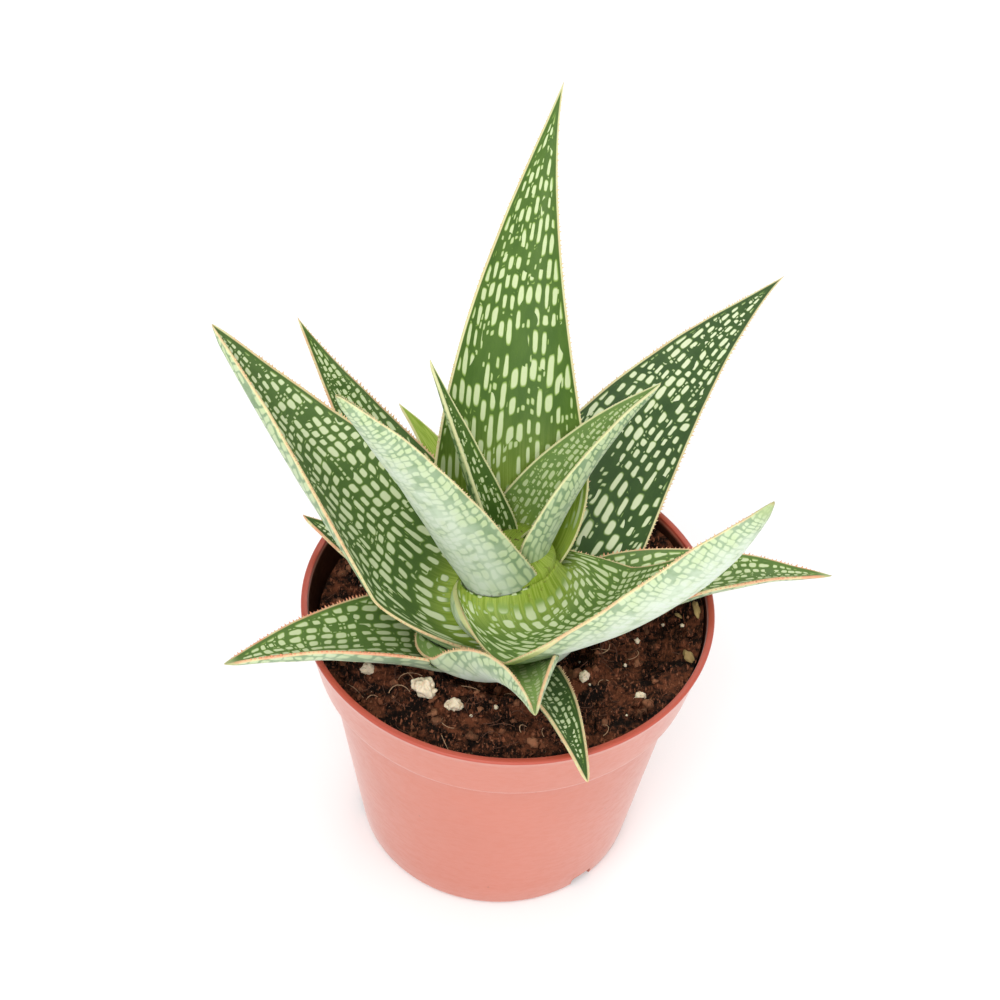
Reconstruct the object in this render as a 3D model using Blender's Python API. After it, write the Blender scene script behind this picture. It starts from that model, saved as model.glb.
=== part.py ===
"""Young aloe in a plastic nursery pot: pot, potting soil, stem, fifteen leaves and perlite grains.

Metres, +Z up. The origin is the centre of the pot's underside, which stands on the plane z = 0.
"""

from collections import namedtuple

import bmesh
import bpy
import numpy as np
from mathutils import Vector
from mathutils.bvhtree import BVHTree
from mathutils.noise import noise

MM = 0.001
GAP = 0.3 * MM              # clearance between neighbouring solids

# Pot
RIM_RADIUS = 42.5 * MM
POT_HEIGHT = 66.2 * MM
LIP_WIDTH = 1.3 * MM
COLLAR_DEPTH = 13.7 * MM
COLLAR_FOOT_RADIUS = 39.8 * MM
BODY_TOP_RADIUS = 37.6 * MM
BASE_RADIUS = 30.4 * MM
WALL = 1.3 * MM
FLOOR = 1.6 * MM
POT_SEGMENTS = 60
DRAIN_SLOTS = 3
DRAIN_AZIMUTH = -49.0       # degrees, of the first slot
DRAIN_WIDTH = 5.4 * MM
DRAIN_HEIGHT = 2.8 * MM

# Soil and stem
SOIL_LEVEL = 59.0 * MM
CROWN_HOLLOW_RADIUS = 16.0 * MM
CROWN_HOLLOW_FLOOR = 54.5 * MM
SOIL_SEGMENTS = 40
SOIL_RINGS = 13             # across the surface, with the centre
STEM_PROFILE = ((9.2, 54.8), (9.5, 61.0), (8.4, 64.0), (7.8, 67.0), (5.1, 71.0), (3.1, 72.5), (0.9, 75.0))
STEM_TOP = 75.7

# Each leaf starts as a collar around the stem (radius, height, clasp = half the arc it covers) and turns into
# a blade. The blade leaves at azimuth and rise, and changes by sweep and curl on its way to the tip. Its cross
# section is an arc whose half angle goes from cup_base to cup_tip, tilted by roll and, at the tip, twist more.
# taper shapes the outline, bow bends the tip sideways, collar is the share of the length where the collar turns
# into the blade, and flare is how far the collar opens with it. Angles in degrees, sizes in millimetres.
Leaf = namedtuple("Leaf", "name azimuth rise curl sweep length width roll twist cup_base cup_tip thickness "
                          "height radius taper bow clasp collar flare")
LEAVES = (
    Leaf("leaf_heart_left", 144, 65, -2, 1, 47, 12, 11, 7, 65, 52, 1.4, 75.5, 1.5, 1.2, 0, 80, 0.20, 0.5),
    Leaf("leaf_heart_bud", 20, 70, 0, 0, 10, 6, 0, 0, 80, 60, 0.8, 76.5, 1.8, 1.0, 0, 70, 0.30, 0.5),
    Leaf("leaf_heart_right", 45, 66, -31, -12, 48, 26.5, -25, -3, 92, 71, 1.6, 72.5, 4, 1.05, -1.5, 111, 0.20, 0.5),
    Leaf("leaf_left_inner", 207, 69, -10, -28, 62.5, 28, 25, 12, 68, 68, 1.5, 72.5, 7.5, 0.6, 2.5, 118, 0.20, 0.55),
    Leaf("leaf_right_front", -52, 35, 33, 55, 74, 39.5, 10, -56, 5, 63, 2.5, 67, 9, 0.6, 0.5, 152, 0.20, 0.9),
    Leaf("leaf_left_broad", 174, 46, 12, -12, 80, 38, -22, 30, 22, 84, 3.0, 61.5, 11, 0.95, 0, 117, 0.26, 0.5),
    Leaf("leaf_tall_back", 102, 61, -8, -13, 97, 39.5, 7, -2, 49, 23, 3.0, 71, 6, 1.35, -10.5, 100, 0.20, 0.5),
    Leaf("leaf_right_back", 59, 35, -25, -12, 92, 37, 25, 2, 44, 21, 3.0, 60, 12, 1.35, -1, 55, 0.20, 0.5),
    Leaf("leaf_left_back", 134, 27, 12, 1, 67.5, 27, -1, 0, 48, 29, 2.5, 59.5, 13, 1.25, 0, 40, 0.20, 0.5),
    Leaf("leaf_front_low", -86, 50, -25, -13, 40, 40, 33, -41, 22, 120, 2.0, 61, 13.5, 1.25, 6.5, 85, 0.30, 1.6),
    Leaf("leaf_right_low", 9, 33, -39, -4, 55, 24, 0, -13, 47, 39, 2.2, 58.5, 14.5, 1.1, -1.5, 32, 0.20, 0.5),
    Leaf("leaf_left_low", 210, 34, -24, 1, 51.5, 27, -2, 17, 44, 64, 2.2, 58, 14.5, 1.0, 0.5, 32, 0.15, 0.5),
    Leaf("leaf_front_drooping", -69, 40, -42, -1, 40.5, 11, 1, -4, 47, 52, 1.8, 58, 14.5, 0.9, -2, 20, 0.20, 0.5),
    Leaf("leaf_left_back_low", 165, 25, 0, -3, 35, 16, -1, 0, 45, 34, 2.0, 58.5, 14, 1.0, -0.5, 28, 0.20, 0.5),
    Leaf("leaf_back_slender", 112, 27, -10, 22, 44, 15, 1, 1, 50, 31, 2.0, 63, 10, 1.1, 0.5, 35, 0.20, 0.5),
)
MARGIN_THICKNESS = 0.5      # of a leaf's edge, millimetres
LEAF_STATIONS = 17          # cross sections along a leaf
LEAF_COLUMNS = 7            # points across one face
TRIM_SWELL = 0.4 * MM       # a leaf is swollen by this before it trims an older neighbour

# Perlite grains: x, y and size in millimetres
GRAINS = ((-15.6, -21.2, 4.4), (-9.4, -23.8, 3.0), (-27.4, -16.5, 2.6),
          (27.6, -19.3, 2.4), (16.3, -15.0, 2.2))

COLOURS = {"pot": ((0.76, 0.32, 0.25), 0.45), "soil": ((0.045, 0.022, 0.014), 0.95),
           "leaf": ((0.13, 0.27, 0.12), 0.45), "stem": ((0.42, 0.55, 0.12), 0.5), "perlite": ((0.82, 0.78, 0.70), 0.9)}


def clear_scene():
    for item in list(bpy.data.objects):
        bpy.data.objects.remove(item, do_unlink=True)


def material(name):
    """Returns the named finish, made on first use."""
    if name in bpy.data.materials:
        return bpy.data.materials[name]
    colour, roughness = COLOURS[name]
    made = bpy.data.materials.new(name)
    made.use_nodes = True
    shader = made.node_tree.nodes["Principled BSDF"]
    shader.inputs["Base Color"].default_value = (*colour, 1.0)
    shader.inputs["Roughness"].default_value = roughness
    shader.inputs["Metallic"].default_value = 0.0
    return made


def add_object(name, points, faces, finish, sharp_angle=40.0):
    """Makes a mesh object with its faces pointing out."""
    mesh = bpy.data.meshes.new(name)
    mesh.from_pydata([tuple(map(float, point)) for point in points], [], faces)
    shell = bmesh.new()
    shell.from_mesh(mesh)
    bmesh.ops.recalc_face_normals(shell, faces=shell.faces)
    shell.to_mesh(mesh)
    shell.free()
    mesh.shade_smooth()
    mesh.set_sharp_from_angle(angle=np.radians(sharp_angle))
    mesh.materials.append(material(finish))
    item = bpy.data.objects.new(name, mesh)
    bpy.context.scene.collection.objects.link(item)
    return item


def turned(profile, segments):
    """Points and faces of a solid of revolution; the profile runs from the axis to the axis."""
    points = []
    rings = []
    for radius, height in profile:
        count = segments if radius > 0 else 1
        rings.append(list(range(len(points), len(points) + count)))
        angles = np.arange(count) * 2 * np.pi / count
        points += [(radius * np.cos(a), radius * np.sin(a), height) for a in angles]
    faces = []
    for low, high in zip(rings[:-1], rings[1:]):
        for i in range(segments):
            j = (i + 1) % segments
            corners = [low[i % len(low)], low[j % len(low)], high[j % len(high)], high[i % len(high)]]
            faces.append(list(dict.fromkeys(corners)))
    return points, faces


# Pot ---------------------------------------------------------------------------------------------------------

def body_radius(height):
    """Outer radius of the tapered body."""
    return BASE_RADIUS + (BODY_TOP_RADIUS - BASE_RADIUS) * height / (POT_HEIGHT - COLLAR_DEPTH)


def collar_radius(height):
    """Outer radius of the collar under the lip."""
    share = (height - (POT_HEIGHT - COLLAR_DEPTH)) / COLLAR_DEPTH
    return COLLAR_FOOT_RADIUS + (RIM_RADIUS - COLLAR_FOOT_RADIUS) * share


def pot_profile():
    collar_foot = POT_HEIGHT - COLLAR_DEPTH
    edge = 0.5 * MM
    lip_edge = 0.3 * MM
    outside = [(0, 0), (BASE_RADIUS - 2 * edge, 0), (body_radius(edge), edge),
               (BODY_TOP_RADIUS, collar_foot - edge), (COLLAR_FOOT_RADIUS - edge, collar_foot),
               (COLLAR_FOOT_RADIUS, collar_foot + edge)]
    lip = [(RIM_RADIUS, POT_HEIGHT - 2 * lip_edge), (RIM_RADIUS - lip_edge, POT_HEIGHT),
           (RIM_RADIUS - LIP_WIDTH + lip_edge, POT_HEIGHT), (RIM_RADIUS - LIP_WIDTH, POT_HEIGHT - 2 * lip_edge)]
    inside = [(collar_radius(collar_foot + 2 * edge) - WALL, collar_foot + 2 * edge),
              (BODY_TOP_RADIUS - WALL, collar_foot - 3 * edge), (body_radius(FLOOR) - WALL, FLOOR + edge),
              (body_radius(FLOOR) - WALL - edge, FLOOR), (0, FLOOR)]
    return outside + lip + inside


def drain_slot(number):
    """A cutter for one drain slot, through the corner of wall and floor."""
    azimuth = np.radians(DRAIN_AZIMUTH + number * 360.0 / DRAIN_SLOTS)
    depth = 5.0 * MM
    bpy.ops.mesh.primitive_cube_add(size=1.0)
    cutter = bpy.context.object
    cutter.name = f"cutter_drain_{number + 1}"
    cutter.scale = (depth, DRAIN_WIDTH, 2 * DRAIN_HEIGHT)
    cutter.rotation_euler = (0, 0, azimuth)
    centre = BASE_RADIUS - 0.25 * depth
    cutter.location = (centre * np.cos(azimuth), centre * np.sin(azimuth), 0)
    cutter.hide_render = True
    cutter.display_type = "WIRE"
    return cutter


def make_pot():
    pot = add_object("pot", *turned(pot_profile(), POT_SEGMENTS), "pot")
    for number in range(DRAIN_SLOTS):
        cut = pot.modifiers.new(f"drain_{number + 1}", "BOOLEAN")
        cut.operation = "DIFFERENCE"
        cut.object = drain_slot(number)


# Soil, stem and grains ---------------------------------------------------------------------------------------

def soil_height(x, y):
    """Height of the uneven soil, with the hollow that the crown sits in."""
    radius = np.hypot(x, y)
    bumps = 1.1 * MM * noise(Vector((x, y, 0)) / (7 * MM)) + 0.6 * MM * noise(Vector((x, y, 9)) / (3.5 * MM))
    open_ground = np.clip((radius - CROWN_HOLLOW_RADIUS) / (5 * MM), 0, 1)
    ramp = open_ground * open_ground * (3 - 2 * open_ground)
    return CROWN_HOLLOW_FLOOR + ramp * (SOIL_LEVEL - CROWN_HOLLOW_FLOOR + bumps)


def make_soil():
    collar_foot = POT_HEIGHT - COLLAR_DEPTH
    step_low = collar_foot - 1.5 * MM
    step_high = collar_foot + 1.0 * MM
    wall = [(0, FLOOR + GAP), (body_radius(FLOOR) - WALL - 1.1 * MM, FLOOR + GAP),
            (body_radius(FLOOR) - WALL - 2 * GAP, FLOOR + 1.1 * MM),
            (BODY_TOP_RADIUS - WALL - 1.5 * GAP, step_low + GAP),
            (collar_radius(step_high) - WALL - 1.5 * GAP, step_high + GAP)]
    edge_radius = collar_radius(SOIL_LEVEL) - WALL - 1.2 * GAP
    surface = [(edge_radius * share, SOIL_LEVEL) for share in np.linspace(1.0, 0.0, SOIL_RINGS)]
    points, faces = turned(wall + surface, SOIL_SEGMENTS)
    first = len(points) - ((SOIL_RINGS - 1) * SOIL_SEGMENTS + 1)
    for index in range(first, len(points)):
        x, y, _ = points[index]
        points[index] = (x, y, soil_height(x, y))
    add_object("potting_soil", points, faces, "soil", sharp_angle=60.0)


def make_stem():
    sides = [(radius * MM, height * MM) for radius, height in STEM_PROFILE]
    profile = [(0, sides[0][1])] + sides + [(0, STEM_TOP * MM)]
    add_object("stem", *turned(profile, 32), "stem")


def make_grain(number, x, y, size):
    """One puffed perlite grain lying on the soil."""
    bpy.ops.mesh.primitive_ico_sphere_add(subdivisions=2, radius=0.5 * size * MM)
    grain = bpy.context.object
    grain.name = f"perlite_{number}"
    centre = Vector((x * MM, y * MM, 0))
    for vertex in grain.data.vertices:
        swell = 1 + 0.45 * noise(vertex.co / (0.45 * size * MM) + Vector((number * 7.3, 0, 0)))
        vertex.co = vertex.co * swell
        vertex.co.z *= 0.75
    lift = max(soil_height(x * MM + v.co.x, y * MM + v.co.y) - v.co.z for v in grain.data.vertices)
    for vertex in grain.data.vertices:
        vertex.co += centre + Vector((0, 0, lift + 1.5 * GAP))
    grain.data.shade_smooth()
    grain.data.materials.append(material("perlite"))


# Leaves ------------------------------------------------------------------------------------------------------

def leaf_faces(leaf, stations, columns):
    """Grids (stations, columns, 3) of the inner, upper face and the outer, lower face, in millimetres."""
    s = np.linspace(0, 1, stations)
    t = np.linspace(-1, 1, columns)
    start = np.radians(leaf.azimuth)
    rise = np.radians(leaf.rise + leaf.curl * s)
    heading = np.radians(leaf.azimuth + leaf.sweep * s)
    along = np.stack([np.cos(rise) * np.cos(heading), np.cos(rise) * np.sin(heading), np.sin(rise)], -1)
    level = np.stack([-np.sin(heading), np.cos(heading), 0 * s], -1)
    above = np.cross(along, level)
    steps = 0.5 * (along[1:] + along[:-1]) * leaf.length / (stations - 1)
    base = np.array([leaf.radius * np.cos(start), leaf.radius * np.sin(start), leaf.height])
    midrib = base + np.concatenate([np.zeros((1, 3)), np.cumsum(steps, axis=0)])
    midrib += level * (leaf.bow * s ** 2)[:, None]

    roll = np.radians(leaf.roll + leaf.twist * s)[:, None]
    side = np.cos(roll) * level + np.sin(roll) * above
    normal = np.cos(roll) * above - np.sin(roll) * level
    half_width = 0.5 * leaf.width * (1 - s ** 1.5) ** leaf.taper
    cup = np.radians(leaf.cup_base * (1 - s) + leaf.cup_tip * s)[:, None]
    across = half_width[:, None] * np.sin(cup * t) / cup
    depth = half_width[:, None] * (1 - np.cos(cup * t)) / cup
    blade = midrib[:, None] + across[..., None] * side[:, None] + depth[..., None] * normal[:, None]

    reach = leaf.radius + leaf.flare * (np.hypot(midrib[:, 0], midrib[:, 1]) - leaf.radius)
    lift = leaf.height + leaf.flare * (midrib[:, 2] - leaf.height)
    arc = start + np.radians(leaf.clasp) * t
    collar = np.stack([reach[:, None] * np.cos(arc), reach[:, None] * np.sin(arc), lift[:, None] + 0 * t], -1)
    turn = np.clip(s / leaf.collar, 0, 1)
    weight = (turn * turn * (3 - 2 * turn))[:, None, None]
    inner = (1 - weight) * collar + weight * blade

    inward = np.cross(np.gradient(inner, axis=0), np.gradient(inner, axis=1))
    inward /= np.linalg.norm(inward, axis=-1, keepdims=True) + 1e-9
    inward[-1] = inward[-2]
    flesh = leaf.thickness * (2 * half_width / leaf.width)[:, None] ** 0.8 * (1 - np.abs(t) ** 2.2)
    fade = np.clip((1 - s) / 0.05, 0, 1)[:, None] ** 0.5
    outer = inner - inward * ((MARGIN_THICKNESS + flesh) * fade)[..., None]
    return inner, outer


def leaf_shell(leaf):
    """Points (metres) and faces of one closed leaf: a loop of points per station, a base cap and a tip."""
    inner, outer = leaf_faces(leaf, LEAF_STATIONS, LEAF_COLUMNS)
    loops = np.concatenate([inner, outer[:, ::-1]], axis=1)[:-1]
    count, around = loops.shape[:2]
    points = [tuple(point * MM) for point in loops.reshape(-1, 3)]
    points.append(tuple(inner[-1, LEAF_COLUMNS // 2] * MM))
    faces = []
    for station in range(count - 1):
        for i in range(around):
            a = station * around + i
            b = station * around + (i + 1) % around
            faces += [(a, b, b + around), (a, b + around, a + around)]
    last = (count - 1) * around
    faces += [(last + i, last + (i + 1) % around, len(points) - 1) for i in range(around)]
    for i in range(LEAF_COLUMNS - 1):
        faces.append((i + 1, i, around - 1 - i, around - 2 - i))
    return points, faces


def swollen_copy(item):
    """A cutter: the leaf grown along its normals."""
    mesh = item.data.copy()
    normals = [vertex.normal.copy() for vertex in mesh.vertices]
    for vertex, normal in zip(mesh.vertices, normals):
        vertex.co += normal * TRIM_SWELL
    cutter = bpy.data.objects.new(f"cutter_{item.name}", mesh)
    bpy.context.scene.collection.objects.link(cutter)
    cutter.hide_render = True
    cutter.display_type = "WIRE"
    return cutter


def touch(first, second):
    """Whether the surfaces of two objects cross."""
    trees = []
    for item in (first, second):
        shell = bmesh.new()
        shell.from_mesh(item.data)
        trees.append(BVHTree.FromBMesh(shell))
        shell.free()
    return bool(trees[0].overlap(trees[1]))


def keep_largest_body(mesh):
    """Drops the slivers that trimming leaves, and merges its near-double points."""
    shell = bmesh.new()
    shell.from_mesh(mesh)
    bmesh.ops.remove_doubles(shell, verts=shell.verts, dist=0.00002)
    bmesh.ops.dissolve_degenerate(shell, edges=shell.edges, dist=0.00001)
    bodies = []
    unseen = set(shell.verts)
    while unseen:
        queue = [unseen.pop()]
        body = set(queue)
        while queue:
            for edge in queue.pop().link_edges:
                for vertex in edge.verts:
                    if vertex in unseen:
                        unseen.remove(vertex)
                        body.add(vertex)
                        queue.append(vertex)
        bodies.append(body)
    largest = max(bodies, key=len)
    bmesh.ops.delete(shell, geom=[v for v in shell.verts if v not in largest], context="VERTS")
    shell.to_mesh(mesh)
    shell.free()


def trim(item, cutters):
    """Cuts the clearance of the younger leaves out of an older one."""
    crossing = [cutter for cutter in cutters if touch(item, cutter)]
    if not crossing:
        return
    for cutter in crossing:
        cut = item.modifiers.new(cutter.name, "BOOLEAN")
        cut.operation = "DIFFERENCE"
        cut.object = cutter
    bpy.context.view_layer.update()
    trimmed = bpy.data.meshes.new_from_object(item.evaluated_get(bpy.context.evaluated_depsgraph_get()))
    item.modifiers.clear()
    keep_largest_body(trimmed)
    item.data = trimmed


def make_leaves():
    """Young leaves first: each older leaf is trimmed where it would run into a younger one."""
    cutters = []
    for leaf in LEAVES:
        item = add_object(leaf.name, *leaf_shell(leaf), "leaf", sharp_angle=50.0)
        trim(item, cutters)
        cutters.append(swollen_copy(item))


clear_scene()
make_pot()
make_soil()
make_stem()
for grain_number, grain in enumerate(GRAINS, start=1):
    make_grain(grain_number, *grain)
make_leaves()
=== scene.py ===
"""Looks of a young spotted aloe in a plastic nursery pot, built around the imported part.

Sizes of the plant, the soil and the pot are in millimetres, times MM for Blender. The floor, the lights and
the scales of the textures go by the metre. The leaves' skin map counts rows and steps of their pale dashes.
"""

import math
from collections import namedtuple

import bpy
import numpy as np
from mathutils import Matrix, Vector
from mathutils.bvhtree import BVHTree
from mathutils.noise import noise


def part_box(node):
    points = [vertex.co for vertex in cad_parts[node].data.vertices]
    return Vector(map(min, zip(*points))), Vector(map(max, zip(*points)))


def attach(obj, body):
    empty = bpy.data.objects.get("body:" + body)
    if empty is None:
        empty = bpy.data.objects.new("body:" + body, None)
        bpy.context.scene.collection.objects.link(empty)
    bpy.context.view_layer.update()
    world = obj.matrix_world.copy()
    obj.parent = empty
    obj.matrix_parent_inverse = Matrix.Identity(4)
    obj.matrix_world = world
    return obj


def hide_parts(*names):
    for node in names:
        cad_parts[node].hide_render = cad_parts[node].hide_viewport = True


MM = 0.001
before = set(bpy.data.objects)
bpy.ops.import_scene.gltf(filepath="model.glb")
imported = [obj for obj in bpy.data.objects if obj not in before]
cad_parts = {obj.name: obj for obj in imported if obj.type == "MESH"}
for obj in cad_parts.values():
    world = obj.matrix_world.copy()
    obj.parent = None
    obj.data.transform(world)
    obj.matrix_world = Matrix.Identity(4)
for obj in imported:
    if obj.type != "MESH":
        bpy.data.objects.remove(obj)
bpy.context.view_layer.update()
bpy.ops.object.select_all(action="DESELECT")

# The shape of each leaf, as in the part. A leaf starts as a collar around the stem (radius, height, clasp =
# half the arc it covers) and turns into a blade, which leaves at azimuth and rise and changes by sweep and
# curl on its way to the tip. Its section is an arc whose half angle goes from cup_base to cup_tip, tilted by
# roll and, at the tip, twist more. Angles in degrees, sizes in millimetres.
Leaf = namedtuple("Leaf", "name azimuth rise curl sweep length width roll twist cup_base cup_tip thickness "
                          "height radius taper bow clasp collar flare")
LEAVES = (
    Leaf("leaf_heart_left", 144, 65, -2, 1, 47, 12, 11, 7, 65, 52, 1.4, 75.5, 1.5, 1.2, 0, 80, 0.20, 0.5),
    Leaf("leaf_heart_bud", 20, 70, 0, 0, 10, 6, 0, 0, 80, 60, 0.8, 76.5, 1.8, 1.0, 0, 70, 0.30, 0.5),
    Leaf("leaf_heart_right", 45, 66, -31, -12, 48, 26.5, -25, -3, 92, 71, 1.6, 72.5, 4, 1.05, -1.5, 111, 0.20, 0.5),
    Leaf("leaf_left_inner", 207, 69, -10, -28, 62.5, 28, 25, 12, 68, 68, 1.5, 72.5, 7.5, 0.6, 2.5, 118, 0.20, 0.55),
    Leaf("leaf_right_front", -52, 35, 33, 55, 74, 39.5, 10, -56, 5, 63, 2.5, 67, 9, 0.6, 0.5, 152, 0.20, 0.9),
    Leaf("leaf_left_broad", 174, 46, 12, -12, 80, 38, -22, 30, 22, 84, 3.0, 61.5, 11, 0.95, 0, 117, 0.26, 0.5),
    Leaf("leaf_tall_back", 102, 61, -8, -13, 97, 39.5, 7, -2, 49, 23, 3.0, 71, 6, 1.35, -10.5, 100, 0.20, 0.5),
    Leaf("leaf_right_back", 59, 35, -25, -12, 92, 37, 25, 2, 44, 21, 3.0, 60, 12, 1.35, -1, 55, 0.20, 0.5),
    Leaf("leaf_left_back", 134, 27, 12, 1, 67.5, 27, -1, 0, 48, 29, 2.5, 59.5, 13, 1.25, 0, 40, 0.20, 0.5),
    Leaf("leaf_front_low", -86, 50, -25, -13, 40, 40, 33, -41, 22, 120, 2.0, 61, 13.5, 1.25, 6.5, 85, 0.30, 1.6),
    Leaf("leaf_right_low", 9, 33, -39, -4, 55, 24, 0, -13, 47, 39, 2.2, 58.5, 14.5, 1.1, -1.5, 32, 0.20, 0.5),
    Leaf("leaf_left_low", 210, 34, -24, 1, 51.5, 27, -2, 17, 44, 64, 2.2, 58, 14.5, 1.0, 0.5, 32, 0.15, 0.5),
    Leaf("leaf_front_drooping", -69, 40, -42, -1, 40.5, 11, 1, -4, 47, 52, 1.8, 58, 14.5, 0.9, -2, 20, 0.20, 0.5),
    Leaf("leaf_left_back_low", 165, 25, 0, -3, 35, 16, -1, 0, 45, 34, 2.0, 58.5, 14, 1.0, -0.5, 28, 0.20, 0.5),
    Leaf("leaf_back_slender", 112, 27, -10, 22, 44, 15, 1, 1, 50, 31, 2.0, 63, 10, 1.1, 0.5, 35, 0.20, 0.5),
)
MARGIN_THICKNESS = 0.5
RIPPLE_SIZE = 9.0           # of the slight unevenness of a leaf
RIPPLE_DEPTH = 0.35
TIGHTENING = 0.68           # how much closer the dashes are at the tip than at the base, as a share
CLEARANCE = 0.25            # kept between a trimmed leaf and the one it gives way to
TEETH_START = 0.10          # the share of the margin where the teeth begin and end
TEETH_END = 0.975
CROWN_HEIGHT = 72.0         # where the young leaves leave the stem, millimetres
CROWN_RADIUS = 9.0
# Where a leaf's inner face runs up against the younger leaves: the middle azimuth and how far to either side
# of it, in degrees, then the radius it climbs to, how far out it starts and how high it gets, in millimetres.
Climb = namedtuple("Climb", "azimuth span radius reach rise")
CLIMBS = {
    "leaf_right_front": Climb(-90.0, 125.0, CROWN_RADIUS, 10.5, 11.8),
    "leaf_left_broad": Climb(190.0, 130.0, 11.0, 10.0, 6.0),
}

# How much narrower than in the table a leaf gets at its tip, and where along it that starts.
PINCHES = {"leaf_right_front": 0.45, "leaf_left_inner": 0.25}
PINCH_START = 0.78

# How each leaf is coloured and armed: shade 0 is a young bright green, 1 an old dark one and below 0 a pale
# one, glow is the share of the length that is yellow-green at the base, blush is how orange the margin is,
# frost how white the outer face is, tooth the length of the marginal teeth, and row and step the spacing of
# the pale dashes across and along the leaf, in millimetres.
Dress = namedtuple("Dress", "shade glow blush frost tooth row step")
DRESS = {
    "leaf_heart_left": Dress(0.35, 0.12, 0.10, 0.2, 0.30, 1.15, 3.0),
    "leaf_heart_bud": Dress(0.1, 0.8, 0.1, 0.1, 0.0, 1.0, 2.0),
    "leaf_heart_right": Dress(-0.4, 0.35, 0.12, 0.6, 0.35, 1.25, 2.7),
    "leaf_left_inner": Dress(0.5, 0.05, 0.30, 0.78, 0.40, 1.60, 2.9),
    "leaf_right_front": Dress(0.30, 0.18, 0.5, 0.94, 0.55, 1.75, 2.9),
    "leaf_left_broad": Dress(0.7, 0.22, 0.5, 0.75, 0.60, 2.05, 5.0),
    "leaf_tall_back": Dress(0.22, 0.42, 0.22, 0.5, 0.60, 2.05, 7.8),
    "leaf_right_back": Dress(1.0, 0.05, 0.35, 0.55, 0.70, 2.15, 5.6),
    "leaf_left_back": Dress(0.4, 0.05, 0.6, 0.6, 0.70, 1.8, 4.2),
    "leaf_front_low": Dress(-0.7, 0.10, 0.65, 0.92, 0.50, 2.3, 3.2),
    "leaf_right_low": Dress(0.35, 0.05, 0.85, 0.85, 0.70, 1.8, 4.0),
    "leaf_left_low": Dress(0.45, 0.05, 1.0, 0.9, 0.75, 1.9, 5.0),
    "leaf_front_drooping": Dress(0.75, 0.05, 0.5, 0.4, 0.60, 1.3, 3.0),
    "leaf_left_back_low": Dress(0.7, 0.05, 0.8, 0.5, 0.60, 1.6, 3.4),
    "leaf_back_slender": Dress(0.0, 5.0, 0.3, 0.2, 0.35, 1.3, 3.2),
}


# Common steps -------------------------------------------------------

def eased(share):
    """0 to 1, slow at both ends."""
    share = np.clip(share, 0, 1)
    return share * share * (3 - 2 * share)


def paint(red, green, blue):
    """A display colour, 0 to 255, as the linear colour a shader takes."""
    return tuple((c / 255 / 12.92 if c <= 10 else ((c / 255 + 0.055) / 1.055) ** 2.4)
                 for c in (red, green, blue))


def named(name):
    """Names the object that was just added."""
    item = bpy.context.object
    item.name = name
    item.data.name = name
    return item


def only(*items):
    """Selects these objects and nothing else."""
    bpy.ops.object.select_all(action="DESELECT")
    for item in items:
        item.select_set(True)
    bpy.context.view_layer.objects.active = items[0]


def places(item):
    """The points of a mesh as an array."""
    flat = np.empty(3 * len(item.data.vertices))
    item.data.vertices.foreach_get("co", flat)
    return flat.reshape(-1, 3)


def move_points(item, points):
    item.data.vertices.foreach_set("co", np.asarray(points, float).ravel())
    item.data.update()


def settle(item):
    """Puts an object's place, turn and size into its mesh."""
    only(item)
    bpy.ops.object.transform_apply(location=True, rotation=True, scale=True)


def joined(name, items):
    only(*items)
    bpy.ops.object.join()
    return named(name)


def linked_copy(pattern):
    """A copy of an object with its own mesh."""
    made = pattern.copy()
    made.data = pattern.data.copy()
    bpy.context.scene.collection.objects.link(made)
    return made


def applied(item, kind, **settings):
    """Adds one modifier, sets it and applies it."""
    modifier = item.modifiers.new(kind.lower(), kind)
    for key, value in settings.items():
        setattr(modifier, key, value)
    only(item)
    bpy.ops.object.modifier_apply(modifier=modifier.name)


def discard(items):
    for item in items:
        bpy.data.objects.remove(item, do_unlink=True)


def smooth(item):
    only(item)
    bpy.ops.object.shade_smooth()


def edit_all(item):
    """Goes into edit mode on one object with all of it selected."""
    only(item)
    bpy.ops.object.mode_set(mode="EDIT")
    bpy.ops.mesh.select_all(action="SELECT")


def face_outwards():
    """Turns every selected face outwards and leaves edit mode."""
    bpy.ops.mesh.normals_make_consistent(inside=False)
    bpy.ops.object.mode_set(mode="OBJECT")


def store(item, name, values):
    """Keeps a number or a vector for each point, for the materials to read."""
    values = np.asarray(values, float)
    vector = values.ndim == 2
    layer = item.data.attributes.new(name, "FLOAT_VECTOR" if vector else "FLOAT", "POINT")
    layer.data.foreach_set("vector" if vector else "value", values.ravel())


def scattered(chance, outermost, innermost_share):
    """A place on the soil picked by chance, and how far out it is."""
    radius = outermost * math.sqrt(chance.uniform(innermost_share, 1.0))
    angle = chance.uniform(0, 2 * math.pi)
    return radius * math.cos(angle), radius * math.sin(angle), radius


def finish(item, material, replaced=None):
    """Gives a piece its material and ties it to the part."""
    item.data.materials.clear()
    item.data.materials.append(material)
    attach(item, "root")
    if replaced:
        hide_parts(replaced)


# Shader steps -------------------------------------------------------

def add(tree, kind, values=None, **settings):
    """Adds a node; a value that is a socket is linked, any other is set."""
    made = tree.nodes.new(kind)
    for key, value in settings.items():
        setattr(made, key, value)
    for socket, value in (values or {}).items():
        if isinstance(value, bpy.types.NodeSocket):
            tree.links.new(value, made.inputs[socket])
        else:
            made.inputs[socket].default_value = value
    return made


def maths(tree, operation, first, second=0.0, third=0.0):
    return add(tree, "ShaderNodeMath", {0: first, 1: second, 2: third}, operation=operation).outputs[0]


def ramp(tree, value, low, high, start=0.0, end=1.0):
    """start below low and end above high, smooth in between."""
    made = add(tree, "ShaderNodeMapRange", {0: value, 1: low, 2: high, 3: start, 4: end})
    made.interpolation_type = "SMOOTHSTEP"
    return made.outputs[0]


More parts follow.
